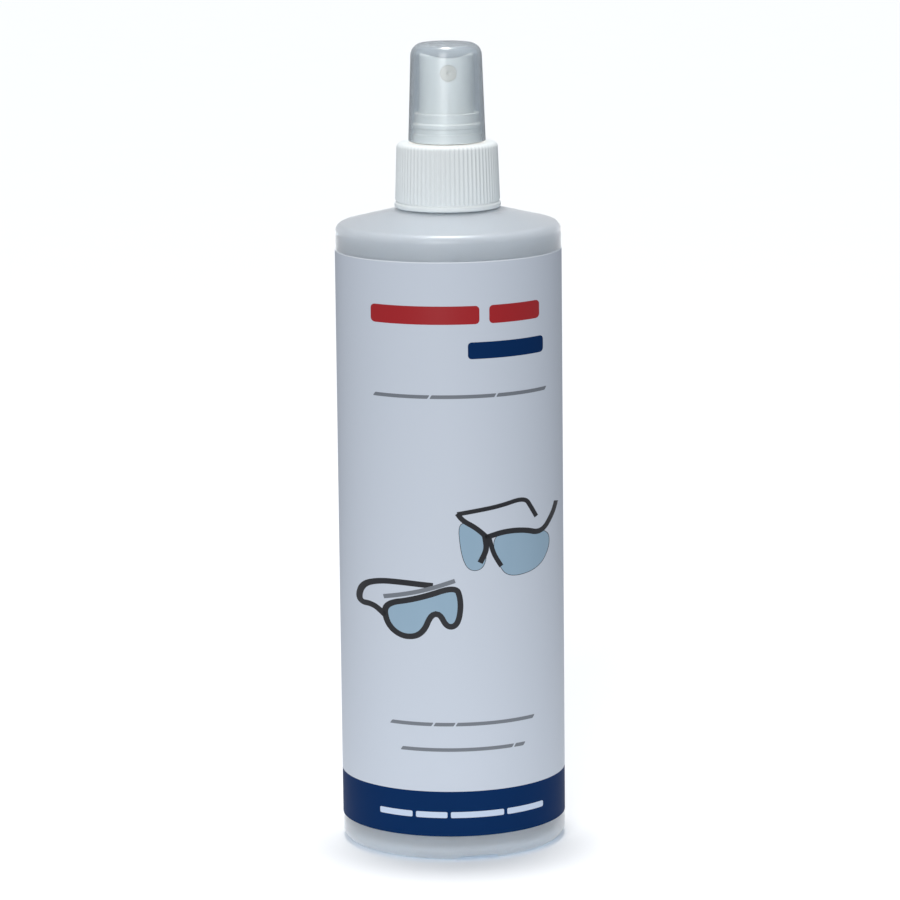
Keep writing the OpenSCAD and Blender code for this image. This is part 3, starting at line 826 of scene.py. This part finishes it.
# %% Spectacles
spectacle_lenses = [
    framed("far_lens", [(-0.8, 97.6), (7.4, 91.6), (7.2, 82.8), (2.4, 81.8), (0.0, 86.6)], 0.16,
           black_ink, lens_ink),
    framed("near_lens", [(8.2, 91.8), (16.0, 92.6), (25.4, 91.2), (26.2, 86.2), (22.8, 80.8),
                         (15.0, 79.4), (11.0, 81.6)], 0.16, black_ink, lens_ink),
]
spectacle_frame = [
    stroke("near_brow", [(7.0, 91.3), (12.0, 92.6), (18.0, 92.4), (23.4, 90.4), (27.2, 95.2),
                         (28.2, 98.0)], 1.5, black_ink),
    stroke("far_brow", [(-0.8, 98.4), (0.6, 96.4), (4.4, 94.2), (7.8, 91.0)], 1.4, black_ink),
    stroke("bridge", [(6.8, 91.8), (7.4, 88.0), (5.4, 84.4)], 1.6, black_ink),
    stroke("nose_pad", [(8.0, 91.2), (9.2, 86.6), (11.4, 83.0)], 1.3, black_ink),
    stroke("far_temple", [(-0.8, 98.2), (4.0, 98.9), (11.0, 99.8), (18.4, 101.4), (20.4, 98.0),
                          (21.8, 95.4)], 1.2, black_ink),
]
rub_down("print_spectacle_lenses", spectacle_lenses)
rub_down("print_spectacle_frame", spectacle_frame, layer=1)

# %% Goggles
goggle_body = [
    framed("goggle_frame", [(-21.6, 73.0), (-12.0, 75.2), (-0.8, 79.2), (1.0, 73.6),
                            (-0.2, 66.4), (-4.4, 65.6), (-7.0, 71.0), (-10.0, 63.6),
                            (-16.0, 62.4), (-20.8, 66.0)], 1.6, black_ink, lens_ink),
    stroke("strap", [(-20.4, 69.0), (-23.4, 71.6), (-27.4, 71.4), (-26.4, 76.6), (-22.0, 78.6),
                     (-15.6, 78.8), (-7.6, 78.2)], 1.6, black_ink),
]
rub_down("print_goggles", goggle_body)
rub_down("print_goggle_vents",
         [stroke("vents", [(-20.8, 74.2), (-11.0, 76.5), (-1.6, 79.6)], 1.2, grey_ink)], layer=1)

# %% [markdown]
# ## The closure
# The closure is a screw cap with seventy grip ribs. It is turned with eight segments to a rib,
# so that pushing out the right vertices all round makes every rib at once. The push fades away
# over the rounded top edge, as the ribs of the mould do.

# %% Closure body
RIBS = 70
PER_RIB = 8
RIB_HEIGHT = 0.3
CLOSURE_BORE = 12.1
CLOSURE_FOOT = 14.3
CLOSURE_DRAFT = math.tan(math.radians(1.9))
CLOSURE_TOP = 1.3
EDGE_ROUND = 1.3
HOLE = 6.4
bead_top = closure_z + 1.6


def closure_side(z):
    """Radius of the closure's side between its ribs at height z."""
    return CLOSURE_FOOT - (z - closure_z) * CLOSURE_DRAFT


levels = [bead_top + 0.25, bead_top + 0.6, bead_top + 6, closure_top - EDGE_ROUND - 0.9]
closure = turned("closure_shell", outline(
    (CLOSURE_BORE, shoulder(CLOSURE_BORE) + 0.5, 0.2), (bead_r - 0.55, closure_z, 0.3),
    (bead_r, closure_z + 0.3, 0.5), (bead_r, bead_top - 0.2, 0.6),
    (closure_side(bead_top), bead_top, 0.15), *[(closure_side(z), z) for z in levels],
    (closure_side(closure_top), closure_top, EDGE_ROUND), (HOLE + 2.5, closure_top),
    (HOLE, closure_top, 0.15), (HOLE, closure_top - CLOSURE_TOP, 0.15),
    (CLOSURE_BORE, closure_top - CLOSURE_TOP, 0.4)),
    segments=RIBS * PER_RIB)
report(closure)

# %% Closure ribs
RIB_SHAPE = ((0, 1.0), (1, 0.82), (2, 0.36))
ribbed_r = closure_side(closure_top) - EDGE_ROUND * 0.75
fade_from = closure_top - EDGE_ROUND
edge_rows = sorted({round(v.co.z / MM, 3) for v in closure.data.vertices
                    if v.co.z / MM > fade_from and v.co.xy.length / MM > ribbed_r})


def push_ribs(low, high, fade):
    """Pushes out the ribs' vertices between two heights, by fade times the ribs' height."""
    for phase, share in RIB_SHAPE:
        def on_rib(p):
            if not low < p.z < high or p.xy.length < ribbed_r:
                return False
            turn = math.atan2(p.y, p.x) / math.tau * RIBS * PER_RIB
            away = (turn + PER_RIB / 2) % PER_RIB - PER_RIB / 2
            return abs(abs(away) - phase) < 0.3
        pick(closure, on_rib)
        grow = 1 + RIB_HEIGHT * share * fade / CLOSURE_FOOT
        bpy.ops.transform.resize(value=(grow, grow, 1), center_override=(0, 0, 0))


only(closure)
bpy.ops.object.mode_set(mode="EDIT")
push_ribs(bead_top + 0.3, fade_from, 1)
for row in edge_rows:
    push_ribs(row - 0.004, row + 0.004, math.sqrt((closure_top - row) / EDGE_ROUND))
bpy.ops.object.mode_set(mode="OBJECT")
print("ribs fade over", len(edge_rows), "rows")

# %% Closure thread
thread("closure_thread", CLOSURE_BORE + THREAD_SINK, NECK_R + 0.25,
       finish_z - 2.8 - PITCH * 2, 1.3, 0.7)
closure.select_set(True)
bpy.context.view_layer.objects.active = closure
bpy.ops.object.join()
closure.data.materials.append(white_plastic)
smooth(closure, 50)
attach(closure, "closure")
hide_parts("closure")
report(closure)

# %% [markdown]
# ## The turret
# The turret holds the overcap and guides the actuator. Its outside has a base flange, a snap
# bead half way up and a slimmer rim, and a long plug that grips the pump's cup goes down
# through the closure. All of it is one turned outline.

# %% Turret
TURRET_BORE = 7.9
TURRET_FLOOR = closure_top + 1.1
PLUG_R = 5.9
PLUG_BORE = 3.5
STEM_HOLE = 2.9
turret_z = closure_top + 0.1
plug_z = turret_z - 7.7
turret = turned("turret_body", outline(
    (PLUG_BORE, plug_z, 0.1), (PLUG_R - 0.4, plug_z), (PLUG_R, plug_z + 0.8, 0.3),
    (PLUG_R, turret_z, 0.15), (flange_r, turret_z, 0.2), (flange_r, turret_z + 2.6, 0.35),
    (flange_r - 0.4, turret_z + 2.6, 0.15),
    (flange_r - 0.4, turret_z + 3.9, 0.3), (flange_r - 0.15, turret_z + 4.2, 0.25),
    (flange_r - 0.15, turret_z + 5.2, 0.3), (flange_r - 0.75, turret_z + 5.55, 0.2),
    (flange_r - 0.75, turret_top, 0.35), (TURRET_BORE, turret_top, 0.3),
    (TURRET_BORE, TURRET_FLOOR, 0.3), (STEM_HOLE, TURRET_FLOOR, 0.15), (STEM_HOLE, turret_z, 0.15),
    (PLUG_BORE, turret_z, 0.15)))
turret.data.materials.append(white_plastic)
smooth(turret, 50)
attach(turret, "pump")
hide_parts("turret")
report(turret)

# %% [markdown]
# ## The actuator
# The actuator is what the finger presses. It starts as a turned button with a hollow and a
# socket for the stem underneath. Two Boolean cuts then give it the finger dish, a shallow valley
# that breaks the front edge, and the round recess for the nozzle. A fine bevel softens the cut
# edges, because moulded plastic never has a knife edge.

# %% Actuator body
ACTUATOR_DRAFT = math.tan(math.radians(1))
ACTUATOR_WALL = 1.1
BOSS_R = 3.63
SOCKET_R = 2.53
BOSS_Z = actuator_z + 0.6
STEM_TOP = BOSS_Z + 8
CEILING = actuator_top - 8
hollow_r = actuator_r - ACTUATOR_WALL
top_r = actuator_r - (actuator_top - actuator_z) * ACTUATOR_DRAFT
actuator = turned("actuator_button", outline(
    (0, actuator_top), (top_r * 0.5, actuator_top), (top_r, actuator_top, 0.45),
    (actuator_r, actuator_z, 0.2), (hollow_r, actuator_z, 0.15), (hollow_r - 0.3, CEILING, 0.3),
    (BOSS_R + 0.15, CEILING, 0.3),
    (BOSS_R, BOSS_Z, 0.2), (SOCKET_R, BOSS_Z, 0.2), (SOCKET_R, STEM_TOP, 0.1), (0, STEM_TOP)))
report(actuator)


# %% Dish and nozzle recess
def rod(radius, length, place, turn, vertices=192):
    """A round cutter along the Y axis, with its back end tipped down by turn."""
    clear()
    bpy.ops.mesh.primitive_cylinder_add(
        vertices=vertices, radius=radius * MM, depth=length * MM,
        location=[v * MM for v in place], rotation=(math.pi / 2 - turn, 0, 0))
    return bpy.context.object


DISH_R = 11.7
DISH_DEPTH = 0.8
DISH_SLOPE = math.radians(11)
DISH_LENGTH = 60
RECESS_LENGTH = 10
SOFT_EDGE = 0.28
dish_axis = actuator_top - DISH_DEPTH + DISH_R / math.cos(DISH_SLOPE)
recess_middle = (0, -(nozzle_back + RECESS_LENGTH / 2), nozzle_z)
cut(actuator, rod(DISH_R, DISH_LENGTH, (0, -top_r, dish_axis), DISH_SLOPE))
cut(actuator, rod(nozzle_r + 0.02, RECESS_LENGTH, recess_middle, 0, 96))
edge = actuator.modifiers.new("soft edge", "BEVEL")
edge.width = SOFT_EDGE * MM
edge.segments = 3
edge.limit_method = "ANGLE"
edge.angle_limit = math.radians(40)
apply_modifiers(actuator)
report(actuator)

# %% Actuator ribs and finish
RIB_THICK = 0.8
rib_foot = actuator_z + 3
clear()
bpy.ops.mesh.primitive_cube_add(size=MM, location=(
    (BOSS_R + hollow_r) / 2 * MM, 0, (rib_foot + CEILING) / 2 * MM))
rib = bpy.context.object
rib.scale = (hollow_r - BOSS_R, RIB_THICK, CEILING - rib_foot)
bpy.ops.object.transform_apply(location=True, scale=True)
for quarter in range(4):
    clear()
    plate = rib.copy()
    plate.data = rib.data.copy()
    bpy.context.collection.objects.link(plate)
    plate.rotation_euler = (0, 0, math.radians(45 + 90 * quarter))
    only(plate)
    bpy.ops.object.transform_apply(rotation=True)
    actuator.select_set(True)
    bpy.context.view_layer.objects.active = actuator
    bpy.ops.object.join()
bpy.data.objects.remove(rib)
actuator.data.materials.clear()
actuator.data.materials.append(white_plastic)
smooth(actuator, 30)
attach(actuator, "actuator")
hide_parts("actuator")
report(actuator)

# %% [markdown]
# ## The nozzle insert
# A small plug pressed into the recess turns the jet into mist. It is turned upright like the
# rest, with a hollow for the swirl chamber behind it and a flared spray hole through its face,
# and then tipped to point forwards.

# %% Nozzle insert
SPRAY_R = 0.2
SWIRL_R = 1.32
length = nozzle_face - nozzle_back
nozzle = turned("nozzle_plug", outline(
    (SPRAY_R, length - 0.7, 0.05), (SPRAY_R, length - 0.3), (0.7, length - 0.02, 0.05),
    (nozzle_r - 0.5, length - 0.02), (nozzle_r, length, 0.25), (nozzle_r, 0, 0.15),
    (SWIRL_R, 0, 0.1), (SWIRL_R, length - 0.7, 0.1)), segments=96)
nozzle.rotation_euler = (math.pi / 2, 0, 0)
nozzle.location = (0, -nozzle_back * MM, nozzle_z * MM)
only(nozzle)
bpy.ops.object.transform_apply(location=True, rotation=True)
nozzle.data.materials.append(nozzle_plastic)
smooth(nozzle)
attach(nozzle, "actuator")
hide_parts("nozzle_insert")
report(nozzle)

# %% [markdown]
# ## The overcap
# The overcap is a thin clear shell. Its inside matters as much as its outside, since light bends
# at both, so it is turned as one closed outline down the outside and up the inside.

# %% Overcap
OVERCAP_WALL = 0.8
OVERCAP_DRAFT = math.tan(math.radians(2))
CAP_ROUND = 3.8
CROWN = 0.5
bore = overcap_r - OVERCAP_WALL
shrink = (overcap_top - overcap_z) * OVERCAP_DRAFT
crown_r = overcap_r - shrink - CAP_ROUND
under = overcap_top - OVERCAP_WALL
overcap = turned("overcap_shell", outline(
    (0, overcap_top), (crown_r * 0.5, overcap_top - CROWN * 0.25),
    (crown_r, overcap_top - CROWN * 0.6),
    (overcap_r - shrink, overcap_top - CROWN, CAP_ROUND - 0.3), (overcap_r, overcap_z, 0.2),
    (bore, overcap_z, 0.2), (bore - shrink, under - CROWN, CAP_ROUND - OVERCAP_WALL - 0.3),
    (crown_r, under - CROWN * 0.6), (crown_r * 0.5, under - CROWN * 0.25), (0, under)))
overcap.data.materials.append(clear_tint)
smooth(overcap)
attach(overcap, "overcap")
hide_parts("overcap")
report(overcap)

# %% [markdown]
# ## The return spring
# The spring is a wire with its end turns wound flat, so that it sits square. A small circle is
# carried round by the Screw modifier, and the height of each point is then set from how far
# round it is. As the pump is pressed the spring gets shorter.

# %% Spring
COIL_R = 2.4
WIRE_R = 0.25
COILS = 7
STEPS = 40
WIRE_SIDES = 10
spring_low, spring_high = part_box("return_spring")
foot = spring_low.z / MM
span = (spring_high.z - spring_low.z) / MM - 2 * WIRE_R
dead = WIRE_R * 2.16
climb = (span - 2 * dead) / (COILS - 2)


def coil_height(turn):
    """Height of the wire's centre after so many turns."""
    if turn < 1:
        return dead * turn
    if turn > COILS - 1:
        return span - dead * (COILS - turn)
    return dead + climb * (turn - 1)


clear()
bpy.ops.mesh.primitive_circle_add(
    vertices=WIRE_SIDES, radius=WIRE_R * MM, fill_type="NGON", rotation=(math.pi / 2, 0, 0),
    location=(COIL_R * MM, 0, (foot + WIRE_R) * MM))
spring = bpy.context.object
spring.name = "return_spring_coil"
bpy.ops.object.transform_apply(location=True, rotation=True)
winding = spring.modifiers.new("winding", "SCREW")
winding.angle = math.tau * COILS
winding.screw_offset = span * MM
winding.steps = winding.render_steps = STEPS * COILS
winding.use_merge_vertices = False
apply_modifiers(spring)
for vertex in spring.data.vertices:
    climbed = (vertex.co.z / MM - foot - WIRE_R) / span * COILS
    lap = (math.atan2(vertex.co.y, vertex.co.x) / math.tau) % 1
    turn = round(climbed - lap) + lap
    vertex.co.z += (coil_height(turn) - span * turn / COILS) * MM
bpy.ops.object.mode_set(mode="EDIT")
bpy.ops.mesh.select_all(action="SELECT")
bpy.ops.mesh.normals_make_consistent(inside=False)
bpy.ops.object.mode_set(mode="OBJECT")
spring.data.materials.append(steel)
smooth(spring, 60)
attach(spring, "pump")
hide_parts("return_spring")
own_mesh(spring)
report(spring)

# %% [markdown]
# ## The working parts inside
# The pump's inner parts are already right in the CAD model: the housing, the stem, the piston
# and the tube that reaches the floor. They keep their shapes and only get their finishes. The
# plastic ones get natural plastic darkened to a blue-grey, painted shade that makes them show
# through the bottle as a faint darker zone.

# %% Finishes of the CAD parts
def coat(node, material):
    """Puts a finish on a CAD node."""
    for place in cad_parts[node].material_slots:
        place.material = material


# The plastic pump parts get the darkened natural plastic: painted shade, seen through the bottle
# wall.
for node in ("pump_housing", "dip_tube", "stem", "stem_plug", "piston"):
    coat(node, natural_plastic)
for node in ("neck_gasket", "stem_gasket"):
    coat(node, gasket_rubber)
coat("check_ball", steel)
coat("cleaning_fluid", fluid_clear)
print("CAD parts shown:", sorted(n for n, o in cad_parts.items() if o.material_slots))
